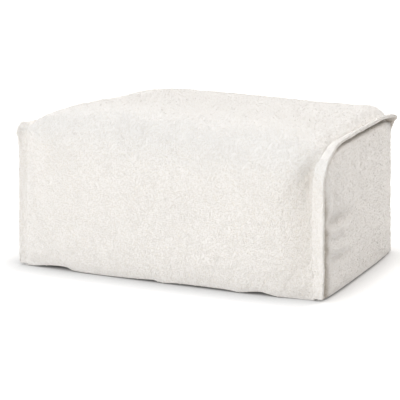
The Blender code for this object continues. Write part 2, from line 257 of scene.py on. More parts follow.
@dataclass(frozen=True)
class PoufForm:
    """The pouf's driving sizes in metres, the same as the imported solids', and the outlines they give."""

    half_width: float = 0.415
    half_depth: float = 0.286
    height: float = 0.385
    gap: float = 0.0003
    spread: float = 0.019
    puff: float = 0.0065
    puff_reach: float = 0.013
    puff_floor_fade: float = 0.02
    seam_hold: float = 0.013
    bulge_at_edge: float = 0.65
    crown_at_edge: float = 0.75
    hem_clearance: float = 0.0006
    lift_height: float = 0.09
    lift_depth: float = 0.08
    base_inset: float = 0.032
    base_thickness: float = 0.0025
    recess_step: float = 0.0008
    flange_thickness: float = 0.007

    def section(self, x: float) -> Section:
        """Returns the cross-section's values at a place along the width."""
        columns = list(zip(*SECTIONS))
        across = x / self.half_width
        return Section(across, *(float(read_curve(columns[0], column, across)) for column in columns[1:]))

    def over_the_top(self, section: Section, foot: float, steps: dict[str, int]) -> np.ndarray:
        """Outline from the foot of the front, up it, over the top and down to the back's foot.

        Args:
            section: The cross-section's values.
            foot: Height at which the outline starts and ends.
            steps: Number of steps along each stretch.

        Returns:
            (y, z) points.
        """
        drop, back_roll = section.roll_drop, section.back_roll
        start = np.array([[-self.half_depth, foot]])
        roll_start = np.array([-self.half_depth, self.height - drop])
        roll_centre = np.array([section.roll_depth - self.half_depth, self.height - drop])
        back_centre = np.array([self.half_depth - back_roll, self.height - back_roll])
        roll = curved(roll_centre, np.array([section.roll_depth, drop]), 180, 90, steps["roll"])
        back = curved(back_centre, np.array([back_roll, back_roll]), 90, 0, steps["back_roll"])
        return np.concatenate(
            [
                start,
                straight(start[0], roll_start, steps["front"]),
                roll,
                straight(roll[-1], np.array([back_centre[0], self.height]), steps["top"]),
                back,
                straight(back[-1], np.array([self.half_depth, foot]), steps["back"]),
            ]
        )

    def lean(self, section: Section, points: np.ndarray) -> np.ndarray:
        """Returns the rise of an outline's points where the top seam slopes up towards the back."""
        return section.lean * (points[:, 0] / self.half_depth) * (points[:, 1] / self.height) ** 2

    def crowned(self, section: Section, x: float, points: np.ndarray) -> np.ndarray:
        """Pushes an outline out as the filling does.

        Args:
            section: The cross-section's values.
            x: Its place along the width.
            points: (y, z) points of the outline as cut.

        Returns:
            The (y, z) points pushed out.
        """
        y, z = points[:, 0], points[:, 1]
        normals = outward(points)
        level = np.clip(z / self.height, 0, 1)
        across = np.clip(y / self.half_depth, -1, 1)
        face = self.bulge_at_edge + (1 - self.bulge_at_edge) * np.sin(np.pi * level)
        push = section.back * face * np.maximum(across, 0) - section.front * face * np.maximum(-across, 0)
        crown = section.crown * (1 - (1 - self.crown_at_edge) * across**4) * level**3
        from_seam = self.half_width - abs(x)
        puff = self.puff * (1 - math.exp(-from_seam / self.puff_reach))
        puff = puff * (1 - np.exp(-z / self.puff_floor_fade))
        new_y = y + push + puff * normals[:, 0]
        new_z = z + crown + self.lean(section, points) + puff * normals[:, 1]
        held = 1 - math.exp(-((from_seam / self.seam_hold) ** 2))
        new_y += held * np.maximum(-normals[:, 0], 0) * crease_depth(Face.FRONT, np.full_like(y, x), new_z)
        new_z -= held * np.maximum(normals[:, 1], 0) * crease_depth(Face.TOP, np.full_like(y, x), new_y)
        return np.stack([new_y, new_z], axis=1)

    def hem_rise(self, x: float, points: np.ndarray) -> np.ndarray:
        """Returns the rise of points near the front hem, where the cloth stands off the floor."""
        low = np.maximum(1 - points[:, 1] / self.lift_height, 0)
        near = np.clip(1 - (points[:, 0] + self.half_depth) / self.lift_depth, 0, 1)
        places, lifts = zip(*FRONT_HEM)
        return read_curve(places, lifts, x) * low**2 * near

    def settled(self, points: np.ndarray) -> np.ndarray:
        """Returns (x, y, z) points moved outwards with the filling, which spreads towards the floor."""
        spread = 1 + self.spread * (1 - points[:, 2] / self.height)
        return points * np.stack([spread, spread, np.ones_like(spread)], axis=1)


def crease_depth(face: Face, p: np.ndarray, q: np.ndarray) -> np.ndarray:
    """Returns the depth of all the creases of one face at points of its plane."""
    depth = np.zeros_like(p)
    for crease in CREASES:
        if crease.face is face:
            turn = math.radians(crease.turn)
            along = ((p - crease.p) * math.cos(turn) + (q - crease.q) * math.sin(turn)) / crease.half_length
            over = ((q - crease.q) * math.cos(turn) - (p - crease.p) * math.sin(turn)) / crease.half_width
            depth = depth + crease.depth * np.exp(-(along**2) - over**2)
    return depth


class Seam:
    """An end seam of the pouf, from the front floor over the top to the back floor."""

    def __init__(self, form: PoufForm, end: End, foot: float) -> None:
        """Lays the seam's line.

        Args:
            form: The pouf's sizes.
            end: Which end it closes.
            foot: Height at which it starts and ends.
        """
        section = SECTIONS[0] if end is End.LEFT else SECTIONS[-1]
        points = form.over_the_top(section, foot, SEAM_STEPS)
        points[:, 1] += form.lean(section, points)
        self.points = points
        self.normals = outward(points)
        runs = np.linalg.norm(np.diff(points, axis=0), axis=1)
        self.lengths = np.concatenate([[0.0], np.cumsum(runs)])
        self.tree = KDTree(len(points))
        for index, (y, z) in enumerate(points):
            self.tree.insert((0.0, y, z), index)
        self.tree.balance()

    def nearest(self, places: np.ndarray) -> tuple[np.ndarray, np.ndarray]:
        """Finds where on the seam each place is nearest to.

        Args:
            places: (y, z) places in the seam's plane.

        Returns:
            The length along the seam, and the distance from it, for each place.
        """
        found = [self.tree.find((0.0, y, z)) for y, z in places]
        along = np.array([self.lengths[index] for _, index, _ in found])
        return along, np.array([distance for _, _, distance in found])


def linear(code: str) -> tuple[float, float, float, float]:
    """Returns the linear colour of an sRGB hex code such as F1EEE8."""
    channels = [int(code[i : i + 2], 16) / 255 for i in (0, 2, 4)]
    values = [c / 12.92 if c <= 0.04045 else ((c + 0.055) / 1.055) ** 2.4 for c in channels]
    return (*values, 1.0)


class Nodes:
    """Lays and links the nodes of one tree."""

    def __init__(self, tree: bpy.types.NodeTree) -> None:
        """Starts on a tree."""
        self.tree = tree

    def feed(self, node: bpy.types.Node, inputs: dict) -> None:
        """Gives a node's inputs their values and links.

        Args:
            node: The node.
            inputs: A value, or the socket it's linked from, by the input's name or number.
        """
        for key, value in inputs.items():
            if isinstance(value, bpy.types.NodeSocket):
                self.tree.links.new(value, node.inputs[key])
            else:
                node.inputs[key].default_value = value

    def add(self, kind: str, inputs: dict | None = None, **settings) -> bpy.types.Node:
        """Adds a node with its settings, values and links.

        Args:
            kind: The node's type.
            inputs: Its inputs, as feed takes them.
            **settings: The node's own properties.

        Returns:
            The new node.
        """
        made = self.tree.nodes.new(kind)
        for name, value in settings.items():
            setattr(made, name, value)
        self.feed(made, inputs or {})
        return made

    def out(self, kind: str, inputs: dict | None = None, output: int | str = 0, **settings) -> Socket:
        """Adds a node and returns one of its outputs, by name or number."""
        return self.add(kind, inputs, **settings).outputs[output]

    def math(self, operation: str, *numbers: float | Socket) -> Socket:
        """Adds a sum of one or two numbers and returns its result."""
        return self.out("ShaderNodeMath", dict(enumerate(numbers)), operation=operation)


class Surface(Nodes):
    """The nodes of one material, whose patterns lie on Object coordinates in metres."""

    def __init__(self, name: str) -> None:
        """Makes the material by its name."""
        self.material = bpy.data.materials.new(name)
        self.material.use_nodes = True
        super().__init__(self.material.node_tree)

    def place(self) -> Socket:
        """Returns the place on the piece."""
        return self.out("ShaderNodeTexCoord", output="Object")

    def noise(self, size_mm: float, inputs: dict, **settings) -> Socket:
        """Adds a noise with swellings of about size_mm and returns its value."""
        inputs = {"Vector": self.place(), "Scale": 1000 / size_mm, **inputs}
        return self.out("ShaderNodeTexNoise", inputs, output="Fac", **settings)

    def ramp(self, factor: Socket, *stops: tuple[float, str]) -> Socket:
        """Blends between two colours.

        Args:
            factor: What picks the colour.
            *stops: The position and the hex code of each colour.

        Returns:
            The socket of the colour.
        """
        ramp = self.add("ShaderNodeValToRGB", {"Fac": factor})
        for element, (position, code) in zip(ramp.color_ramp.elements, stops):
            element.position = position
            element.color = linear(code)
        return ramp.outputs["Color"]

    def bump(self, height: Socket, strength: float, deep: float) -> Socket:
        """Adds relief of up to deep metres from a pattern and returns its normal."""
        inputs = {"Height": height, "Strength": strength, "Distance": deep}
        return self.out("ShaderNodeBump", inputs, output="Normal")

    def with_painted_shade(self, colour: Socket) -> Socket:
        """Paints shade into a colour down in the folds and creases, as far as the painted shade attribute
        says.

        Args:
            colour: The colour in the open.

        Returns:
            The socket of the colour with the painted shade in it.
        """
        # Painted shade: the colour is multiplied towards the shade tint as far as the attribute says
        fold = self.out("ShaderNodeAttribute", output="Fac", attribute_name=PAINTED_SHADE_ATTRIBUTE)
        shaded = self.out("ShaderNodeVectorMath", {0: colour, 1: PAINTED_SHADE_TINT}, operation="MULTIPLY")
        return self.out("ShaderNodeMix", {0: fold, 6: colour, 7: shaded}, output=2, data_type="RGBA")

    def finished(self, inputs: dict) -> bpy.types.Material:
        """Sets the shader's inputs and returns the material."""
        self.feed(self.tree.nodes["Principled BSDF"], inputs)
        return self.material


@dataclass(frozen=True)
class LoopedCloth:
    """Looped bouclé cloth in a wool and cotton blend, woven with a slubby curled yarn.

    It gives the eye a soft, matt off-white surface of irregular small loops about 5 mm across,
    with painted shade, slightly warmer and darker, down between them, painted shade in the folds,
    and a pale bloom where it turns away.
    """

    name: str = "boucle_looped_weave"
    crown: tuple[float, str] = (0.62, "F7F3EE")
    # The colour down between the loops is painted shade, darker and warmer than the crowns
    hollow: tuple[float, str] = (0.15, "F0EAE1")
    loop_mm: float = 5.2
    strand_shifts: tuple[float, float] = (0.0, 7.3)
    strand_width: float = 0.11
    fibre_mm: float = 1.3
    fibre_share: float = 0.25
    loop_height: float = 0.0018
    relief: float = 0.85
    broad_mm: float = 85.0
    broad_tone: float = 0.975

    def make(self) -> bpy.types.Material:
        """Builds the material and returns it."""
        surface = Surface(self.name)
        # A strand of curled yarn lies along each line where a noise is even, and two such lie crossed
        strands = []
        for shift in self.strand_shifts:
            inputs = {"W": shift, "Detail": 1.0, "Roughness": 0.4}
            wander = surface.noise(self.loop_mm, inputs, noise_dimensions="4D")
            apart = surface.math("ABSOLUTE", surface.math("SUBTRACT", wander, 0.5))
            inputs = {"Value": apart, "From Min": self.strand_width, "From Max": 0.0}
            strands.append(surface.out("ShaderNodeMapRange", inputs, interpolation_type="SMOOTHSTEP"))
        fibre = surface.noise(self.fibre_mm, {"Detail": 2.0, "Roughness": 0.6})
        inputs = {0: self.fibre_share, 2: surface.math("MAXIMUM", *strands), 3: fibre}
        height = surface.out("ShaderNodeMix", inputs, data_type="FLOAT")
        broad = surface.noise(self.broad_mm, {"Detail": 2.0})
        inputs = {"Value": broad, "From Min": 0.3, "From Max": 0.7, "To Min": self.broad_tone}
        tone = surface.out("ShaderNodeMapRange", inputs)
        # Painted shade down between the loops: the ramp runs from the hollows' darker, warmer colour up to
        # the crowns'
        inputs = {0: surface.ramp(height, self.hollow, self.crown), 1: tone}
        toned = surface.out("ShaderNodeVectorMath", inputs, operation="MULTIPLY")
        bump = surface.bump(height, self.relief, self.loop_height)
        look = {"Base Color": surface.with_painted_shade(toned), "Normal": bump, "Roughness": 0.93}
        return surface.finished(look | PILE_BLOOM)


@dataclass(frozen=True)
class CurledYarn:
    """Slubby bouclé yarn, spun soft from wool and cotton, as it stands up in loops.

    It gives the eye round matt strands in the cloth's own off-white, with a fine fuzz.
    """

    name: str = "boucle_curled_yarn"
    strand: tuple[float, str] = (0.6, "F6F2ED")
    shade: tuple[float, str] = (0.3, "EEE7DE")
    fuzz_mm: float = 0.9
    fuzz_height: float = 0.0005
    relief: float = 0.6

    def make(self) -> bpy.types.Material:
        """Builds the material and returns it."""
        surface = Surface(self.name)
        fuzz = surface.noise(self.fuzz_mm, {"Detail": 2.0})
        # The loops get the cloth's painted shade in the folds and creases too
        colour = surface.with_painted_shade(surface.ramp(fuzz, self.shade, self.strand))
        bump = surface.bump(fuzz, self.relief, self.fuzz_height)
        return surface.finished({"Base Color": colour, "Normal": bump, "Roughness": 0.95} | PILE_BLOOM)


@dataclass(frozen=True)
class BaseWeave:
    """Plain-woven polypropylene base cloth, hard wearing and matt.

    It gives the eye a flat grey-beige grid of crossing threads. The real threads are 0.5 mm apart,
    and are drawn 2 mm apart so that they show.
    """

    name: str = "plain_woven_base"
    thread: tuple[float, str] = (0.5, "C4BFB5")
    gap: tuple[float, str] = (0.0, "8E887D")
    thread_mm: float = 2.0
    thread_height: float = 0.0004
    relief: float = 0.5
    waver: float = 0.6

    def make(self) -> bpy.types.Material:
        """Builds the material and returns it."""
        surface = Surface(self.name)
        # A sine band's period is two pi over twenty times its scale
        scale = 2 * math.pi / 20 / (self.thread_mm / 1000)
        inputs = {"Vector": surface.place(), "Scale": scale, "Distortion": self.waver}
        inputs |= {"Detail": 1.0, "Detail Scale": 0.5}
        bands = [surface.out("ShaderNodeTexWave", inputs, "Fac", bands_direction=way) for way in "XY"]
        weave = surface.math("MULTIPLY", *bands)
        bump = surface.bump(weave, self.relief, self.thread_height)
        colour = surface.ramp(weave, self.gap, self.thread)
        return surface.finished({"Base Color": colour, "Normal": bump, "Roughness": 0.85})


@dataclass(frozen=True)
class StudioFloor:
    """Matt pale grey studio floor, painted smooth, that glows with painted light as if lit from below, and
    isn't part of the pouf.

    The painted glow fades where something stands close, over reach metres, which paints the shade
    that keeps it dark under the pouf's hem.
    """

    name: str = "studio_floor_paint"
    paint_hex: str = "A0A0A0"
    glow: float = 0.75
    glow_hex: str = "FFFDFB"
    reach: float = 0.10

    def make(self) -> bpy.types.Material:
        """Builds the material and returns it."""
        surface = Surface(self.name)
        # The glow is painted light, faded by nearness to paint the shade beside the pouf
        open_air = surface.out("ShaderNodeAmbientOcclusion", {"Distance": self.reach}, "AO", samples=8)
        look = {"Base Color": linear(self.paint_hex), "Roughness": 0.9, "Specular IOR Level": 0.1}
        glow = {"Emission Strength": surface.math("MULTIPLY", open_air, self.glow)}
        return surface.finished(look | glow | {"Emission Color": linear(self.glow_hex)})


def new_piece(name: str, points: np.ndarray, faces: Sequence[Sequence[int]]) -> bpy.types.Object:
    """Makes a closed mesh object with its faces turned outwards.

    Args:
        name: The object's name.
        points: Its points in metres.
        faces: Its faces, by their points' numbers.

    Returns:
        The object, linked into the scene.
    """
    mesh = bpy.data.meshes.new(name)
    mesh.from_pydata([tuple(point) for point in points], [], faces)
    mesh.validate()
    work = bmesh.new()
    work.from_mesh(mesh)
    bmesh.ops.remove_doubles(work, verts=work.verts[:], dist=1e-6)
    bmesh.ops.recalc_face_normals(work, faces=work.faces[:])
    work.to_mesh(mesh)
    work.free()
    mesh.shade_smooth()
    obj = bpy.data.objects.new(name, mesh)
    bpy.context.scene.collection.objects.link(obj)
    return obj


def ring_faces(rings: int, count: int) -> list[tuple[int, ...]]:
    """Returns the faces of a tube through rings of count points, with both its ends closed."""
    faces: list[tuple[int, ...]] = []
    for r in range(rings - 1):
        for i in range(count):
            j = (i + 1) % count
            faces.append((r * count + i, r * count + j, (r + 1) * count + j, (r + 1) * count + i))
    faces.append(tuple(range(count)))
    faces.append(tuple((rings - 1) * count + i for i in range(count)))
    return faces


def swept(name: str, form: PoufForm, rings: Sequence[np.ndarray]) -> bpy.types.Object:
    """Makes a closed piece through rings of (x, y, z) points, settled as the filling is."""
    points = form.settled(np.concatenate(rings))
    return new_piece(name, points, ring_faces(len(rings), len(rings[0])))


def read_points(mesh: bpy.types.Mesh) -> np.ndarray:
    """Returns a mesh's points, three to a row."""
    values = np.empty(len(mesh.vertices) * 3)
    mesh.vertices.foreach_get("co", values)
    return values.reshape(-1, 3)


def read_normals(mesh: bpy.types.Mesh) -> np.ndarray:
    """Returns a mesh's normals at its points, three to a row."""
    values = np.empty(len(mesh.vertices) * 3)
    mesh.vertex_normals.foreach_get("vector", values)
    return values.reshape(-1, 3)


def write_points(mesh: bpy.types.Mesh, points: np.ndarray) -> None:
    """Moves a mesh's points to new places."""
    mesh.vertices.foreach_set("co", points.ravel())
    mesh.update()


def off_floor(points: np.ndarray) -> np.ndarray:
    """Returns points lifted to just clear of the floor where they lie lower."""
    return np.column_stack([points[:, :2], np.maximum(points[:, 2], FLOOR_CLEARANCE)])


def freed(points: np.ndarray, over: float) -> np.ndarray:
    """Returns how free points are to move, from 0 beside the floor to 1 over a height in metres."""
    return np.clip((points[:, 2] - HELD_HEIGHT) / over, 0, 1)


def write_painted_shade(mesh: bpy.types.Mesh, folds: np.ndarray) -> None:
    """Keeps on a mesh how much painted shade each of its points gets, from 0 to 1."""
    kept = mesh.attributes.new(PAINTED_SHADE_ATTRIBUTE, "FLOAT", "POINT")
    kept.data.foreach_set("value", np.clip(folds, 0, 1).astype(np.float32))


def made_plain(obj: bpy.types.Object) -> bpy.types.Object:
    """Turns an object's modifiers into plain mesh and takes them off, and returns the object."""
    evaluated = obj.evaluated_get(bpy.context.evaluated_depsgraph_get())
    mesh = bpy.data.meshes.new_from_object(evaluated)
    obj.modifiers.clear()
    obj.data = mesh
    mesh.name = obj.name
    return obj


def refine(obj: bpy.types.Object) -> None:
    """Subdivides a piece smoothly, once, and leaves it a plain mesh."""
    modifier = obj.modifiers.new("smoothing", "SUBSURF")
    modifier.levels = modifier.render_levels = 1
    made_plain(obj)


@dataclass(frozen=True)
class Puckers:
    """Gathers of the cloth along a seam, in metres.

    reach is how far from the seam they fade out, start how soon they begin, and width and length
    are the size of one.
    """

    height: float
    reach: float
    start: float
    length: float
    width: float = 0.015

    def at(self, along: np.ndarray, depth: np.ndarray, seed: float) -> np.ndarray:
        """Works out how far the cloth is gathered up or down.

        Args:
            along: Lengths along the seam.
            depth: Distances from it.
            seed: Picks one pattern.

        Returns:
            The movement at each place.
        """
        places = np.column_stack([along / self.width, depth / self.length, np.full(len(depth), seed)])
        fade = np.exp(-depth / self.reach) * (1 - np.exp(-depth / self.start))
        return self.height * 2 * uneven(places, 1.0, seed=0.0) * fade


@dataclass(frozen=True)
class Filling:
    """How the filling presses a sewn cover out, as a cloth simulation with air pressure.

    slack is the share by which the cloth is cut larger than the space it closes, which puckers it
    beside the seams. cap and drift are how far a point and a whole area may move, in metres, and
    smoothing is how many times a movement is evened out to find the area's.
    """

    pressure: float = 4.0
    mass: float = 0.3
    stiffness: float = 15.0
    bending: float = 0.5
    quality: int = 5
    slack: float = 0.02
    frames: int = 20
    cap: float = 0.0030
    drift: float = 0.0008
    smoothing: int = 60

    def press(self, obj: bpy.types.Object, sewn: np.ndarray) -> None:
        """Presses a cover out and writes the result to its mesh.

        Args:
            obj: The cover, a closed mesh.
            sewn: For each point, 1 where it is sewn down and 0 where it is free.
        """
        rest = read_points(obj.data)
        group = obj.vertex_groups.new(name="sewn")
        for share in np.unique(sewn):
            if share > 0:
                group.add([int(i) for i in np.flatnonzero(sewn == share)], float(share), "REPLACE")
        modifier = obj.modifiers.new("filling", "CLOTH")
        settings = modifier.settings
        settings.quality = self.quality
        settings.mass = self.mass
        settings.use_pressure = True
        settings.uniform_pressure_force = self.pressure
        settings.effector_weights.gravity = 0.0
        settings.vertex_group_mass = "sewn"
        settings.shrink_min = -self.slack
        settings.tension_stiffness = settings.compression_stiffness = self.stiffness
        settings.bending_stiffness = self.bending
        modifier.collision_settings.use_collision = False
        modifier.point_cache.frame_start = 1
        modifier.point_cache.frame_end = self.frames
        scene = bpy.context.scene
        for step in range(1, self.frames + 1):
            scene.frame_set(step)
        evaluated = obj.evaluated_get(bpy.context.evaluated_depsgraph_get())
        moved = read_points(evaluated.data) - rest
        obj.modifiers.clear()
        obj.vertex_groups.clear()
        scene.frame_set(1)
        moved = self.held_back(obj.data, moved) * (1 - sewn)[:, None]
        write_points(obj.data, rest + moved)
        furthest = float(np.linalg.norm(moved, axis=1).max())
        LOG.info("%s pressed out by up to %.1f mm", obj.name, furthest * 1000)

    def held_back(self, mesh: bpy.types.Mesh, moved: np.ndarray) -> np.ndarray:
        """Caps a movement, its broad part closer than its wrinkles.

        Args:
            mesh: The cover's mesh.
            moved: Movement of each of its points in metres.

        Returns:
            The movement that is kept.
        """
        edges = np.empty(len(mesh.edges) * 2, dtype=np.int64)
        mesh.edges.foreach_get("vertices", edges)
        edges = edges.reshape(-1, 2)
        count = np.bincount(edges.ravel(), minlength=len(moved))[:, None]
        broad = moved.copy()
        for _ in range(self.smoothing):
            total = np.zeros_like(broad)
            np.add.at(total, edges[:, 0], broad[edges[:, 1]])
            np.add.at(total, edges[:, 1], broad[edges[:, 0]])
            broad = total / count
        return self.capped(broad, self.drift) + self.capped(moved - broad, self.cap - self.drift)

    @staticmethod
    def capped(moved: np.ndarray, limit: float) -> np.ndarray:
        """Returns movements that come close to a limit in metres but never pass it."""
        size = np.linalg.norm(moved, axis=1, keepdims=True)
        return moved * limit * np.tanh(size / limit) / np.maximum(size, 1e-9)


@dataclass
class FilledBlock:
    """The filled block: front, top and back in one length of looped cloth, pressed out by its filling."""

    form: PoufForm
    seams: dict[End, Seam]
    filling: Filling = Filling()
    puckers: Puckers = Puckers(height=0.0016, reach=0.032, start=0.004, length=0.07)
    stations: int = 124
    middle_stretch: float = 0.4
    foot_steps: int = 3
    floor_steps: int = 10
    swell: float = 0.0014
    swell_width: float = 0.075
    swell_edge: float = 1.02
    swell_fade: float = 0.012
    clump: float = 0.0007
    clump_width: float = 0.012
    free_over: float = 0.02
    # Painted shade in the front's creases, full where a crease is dimple_depth deep
    painted_dimple_shade: float = 0.36
    dimple_depth: float = 0.02

    def build(self) -> bpy.types.Object:
        """Builds the block's cover.

        Returns:
            The finished piece, not yet dressed.
        """
        rings = [self.ring(x) for x in self.places()]
        count = len(rings[0])
        piece = swept("filled_block_cover", self.form, rings)
        sewn = np.zeros(len(rings) * count)
        sewn[:count] = 1
        sewn[-count:] = 1
        outline = 2 * self.foot_steps + sum(BLOCK_STEPS.values()) + 1
        for low in range(0, len(sewn), count):
            sewn[low : low + self.foot_steps] = 1
            sewn[low + outline - self.foot_steps : low + count] = 1
        self.filling.press(piece, sewn)
        refine(piece)
        self.soften(piece.data)
        return piece

    def places(self) -> np.ndarray:
        """Returns the places of the cross-sections along the width, closest together beside the seams."""
        shares = np.linspace(-1, 1, self.stations + 1)
        places = self.form.half_width * (shares + self.middle_stretch * np.sin(np.pi * shares) / np.pi)
        recess = self.form.half_width - self.form.base_inset
        step = self.form.recess_step
        extra = [side * (recess + shift) for side in (-1, 1) for shift in (-step, step)]
        return np.sort(np.concatenate([places, extra]))

    def ring(self, x: float) -> np.ndarray:
        """Closed ring of the block at a place along its width.

        Args:
            x: The place in metres.

        Returns:
            (x, y, z) points.
        """
        form = self.form
        section = form.section(x)
        foot, low = section.foot, form.hem_clearance
        radii = np.array([foot, foot - low])
        front_foot = np.array([foot - form.half_depth, foot])
        back_foot = np.array([form.half_depth - foot, foot])
        outline = np.concatenate(
            [
                [[foot - form.half_depth, low]],
                curved(front_foot, radii, -90, -180, self.foot_steps),
                form.over_the_top(section, foot, BLOCK_STEPS)[1:],
                curved(back_foot, radii, 0, -90, self.foot_steps),
            ]
        )
        points = form.crowned(section, x, outline)
        recess = form.half_depth - form.base_inset
        over_base = abs(x) < form.half_width - form.base_inset
        deep = form.base_thickness + form.gap if over_base else low
        back_edge = np.array([recess + form.recess_step, low])
        front_edge = np.array([-recess - form.recess_step, low])
        under = np.concatenate(
            [
                straight(points[-1], back_edge, 3),
                [[recess, deep]],
                straight(np.array([recess, deep]), np.array([-recess, deep]), self.floor_steps),
                [front_edge],
                straight(front_edge, points[0], 3)[:-1],
            ]
        )
        points = np.concatenate([points, under])
        points[:, 1] += form.hem_rise(x, points)
        return np.column_stack([np.full(len(points), x), points])

    def soften(self, mesh: bpy.types.Mesh) -> None:
        """Adds the puckers beside the end seams, the filling's unevenness, the cloth's clumps and the painted
        shade in the front's creases.
        """
        points = read_points(mesh)
        normals = read_normals(mesh)
        within = self.form.half_width * self.swell_edge - np.abs(points[:, 0])
        near_end = np.clip(within / self.swell_fade, 0, 1)
        move = self.swell * uneven(points, self.swell_width, seed=3.1) * near_end
        move += self.clump * uneven(points, self.clump_width, seed=8.7)
        spread = 1 + self.form.spread * (1 - points[:, 2] / self.form.height)
        for end, seam in self.seams.items():
            inwards = self.form.half_width * spread - end.value * points[:, 0]
            chosen = np.flatnonzero(inwards < 4 * self.puckers.reach)
            along, _ = seam.nearest(points[chosen][:, 1:])
            move[chosen] += self.puckers.at(along, inwards[chosen], seed=end.value * 5.3)
        move *= freed(points, self.free_over)
        write_points(mesh, off_floor(points + normals * move[:, None]))
        # Painted shade in the front's creases, deepest in the hollow beside the upper right
        front = crease_depth(Face.FRONT, points[:, 0], points[:, 2]) * np.maximum(-normals[:, 1], 0)
        write_painted_shade(mesh, self.painted_dimple_shade * front / self.dimple_depth)


@dataclass
class EndPanel:
    """One end panel in looped cloth, with the filling's bulge behind it, seated inside its flange.

    Where a size is a pair, its first value holds under the top seam, where the fold is narrower,
    and its second beside the upright ones. ear is the place and the width, as shares of the seam,
    of the flange's upper back corner.
    """

    form: PoufForm
    end: End
    seam: Seam
    filling: Filling = Filling(cap=0.0024, smoothing=30)
    puckers: Puckers = Puckers(height=0.0015, reach=0.030, start=0.005, length=0.06)
    hem: float = 0.0008
    rim: float = 0.001
    shoulder: float = 0.0175
    shoulder_width: tuple[float, float] = (0.0070, 0.021)
    back_shoulder_width: float = 0.016
    slit: tuple[float, float] = (0.0005, 0.0035)
    ear_slit: float = 0.008
    ear: tuple[float, float] = (0.690, 0.030)
    dome: float = 0.0165
    power_across: float = 3.8
    power_up: float = 2.0
    fullest: float = 0.40
    floor_share: float = 0.72
    foot: float = 0.009
    crease_fade: float = 0.010
    stations: int = 84
    steps: int = 58
    swell: float = 0.0014
    swell_width: float = 0.07
    swell_start: float = 0.02
    clump: float = 0.0007
    clump_width: float = 0.012
    free_over: float = 0.02
    corner_drop: float = 0.09
    corner_fade: float = 0.06
    # Painted shade in the fold beside the seam, from the ear forwards: where it starts and how far it fades;
    # and painted shade in the creases, full where one is crease_full deep
    painted_shade_start: tuple[float, float] = (0.0015, 0.0055)
    painted_shade_reach: tuple[float, float] = (0.0022, 0.0117)
    painted_crease_shade: float = 0.24
    crease_full: float = 0.013

    def build(self) -> bpy.types.Object:
        """Builds the panel.

        Returns:
            The finished piece, not yet dressed.
        """
        inset = self.form.flange_thickness + 2 * self.form.gap
        edge = self.seam.points - self.seam.normals * inset
        back_x = self.form.half_width + self.form.gap
        start, stop = edge[0][0], edge[-1][0]
        rings = []
        for i in range(self.stations + 1):
            y = (start + stop) / 2 - (stop - start) / 2 * math.cos(math.pi * i / self.stations)
            rings.append(self.ring(y, self.top_over(edge, y), back_x))
        piece = swept(f"end_panel_{self.end.name.lower()}_cover", self.form, rings)
        sewn = np.zeros((len(rings), len(rings[0])))
        sewn[[0, -1]] = 1
        sewn[:, :3] = 1
        sewn[:, -2:] = 1
        self.filling.press(piece, sewn.ravel())
        refine(piece)
        self.soften(piece.data)
        return piece

    @staticmethod
    def top_over(edge: np.ndarray, y: float) -> float:
        """Returns the height of the panel's upper edge over a place along its depth."""
        best = 0.0
        for (y0, z0), (y1, z1) in zip(edge, edge[1:]):
            if min(y0, y1) - 1e-9 <= y <= max(y0, y1) + 1e-9:
                share = 0.5 if abs(y1 - y0) < 1e-9 else (y - y0) / (y1 - y0)
                best = max(best, z0 + (z1 - z0) * share)
        return best

    def ring(self, y: float, top: float, back_x: float) -> np.ndarray:
        """Closed ring of the panel at a place along its depth.

        Args:
            y: The place in metres.
            top: Height of the panel's upper edge there.
            back_x: Distance of its flat back from the middle of the pouf.

        Returns:
            (x, y, z) points: its flat back, then its bulged face from the top down.
        """
        shares = (1 + np.cos(np.pi * np.arange(self.steps + 1) / self.steps)) / 2
        z = self.hem + (top - self.hem) * shares
        bulge = self.height_at(np.full_like(z, y), z, top)
        face = Face.RIGHT if self.end is End.RIGHT else Face.LEFT
        depth = crease_depth(face, np.full_like(z, y), z) * np.minimum(bulge / self.crease_fade, 1)
        x = np.concatenate([[back_x, back_x], back_x + self.rim + np.maximum(bulge - depth, 0)])
        z = np.concatenate([[self.hem, top], z])
        return np.column_stack([self.end.value * x, np.full_like(z, y), z])

    def height_at(self, y: np.ndarray, z: np.ndarray, top: float) -> np.ndarray:
        """Bulge of the panel: a shoulder close inside its flange, fullest low down, with a rounded foot.

        Args:
            y: Places along the depth.
            z: Heights.
            top: Height of the panel's upper edge.

        Returns:
            The bulge at each point in metres.
        """
        across = np.minimum(np.abs(y) / (self.form.half_depth - self.form.flange_thickness), 1)
        fullest = self.fullest * top
        above = 1 - np.maximum((z - fullest) / (top - fullest), 0) ** self.power_up
        below = 1 - (1 - self.floor_share) * np.maximum((fullest - z) / fullest, 0) ** 2
        upright = np.where(z > fullest, above, below)
        dome = self.dome * (1 - across**self.power_across) * np.maximum(upright, 0)
        along, distance = self.seam.nearest(np.column_stack([y, z]))
        share = along / self.seam.lengths[-1]
        upright = self.beside_upright(z)
        slit = self.mixed(self.slit, upright)
        slit = slit + self.ear_slit * np.exp(-(((share - self.ear[0]) / self.ear[1]) ** 2))
        behind = np.clip((share - self.ear[0] - self.ear[1]) / self.ear[1], 0, 1)
        depth = distance - self.form.flange_thickness - slit * (1 - behind)
        width = self.mixed(self.shoulder_width, upright)
        width = width + (self.back_shoulder_width - width) * behind
        shoulder = self.shoulder * np.sqrt(1 - (1 - np.clip(depth / width, 0, 1)) ** 2)
        under = np.maximum(1 - z / self.foot, 0)
        return (dome + shoulder) * np.sqrt(1 - under**2)

    def beside_upright(self, z: np.ndarray) -> np.ndarray:
        """Returns 1 beside the upright seams and 0 under the top one."""
        return np.clip((self.form.height - self.corner_drop - z) / self.corner_fade, 0, 1)

    @staticmethod
    def mixed(pair: tuple[float, float], upright: np.ndarray) -> np.ndarray:
        """Returns a size that goes from its first value to its second as upright goes from 0 to 1."""
        return pair[0] + (pair[1] - pair[0]) * upright

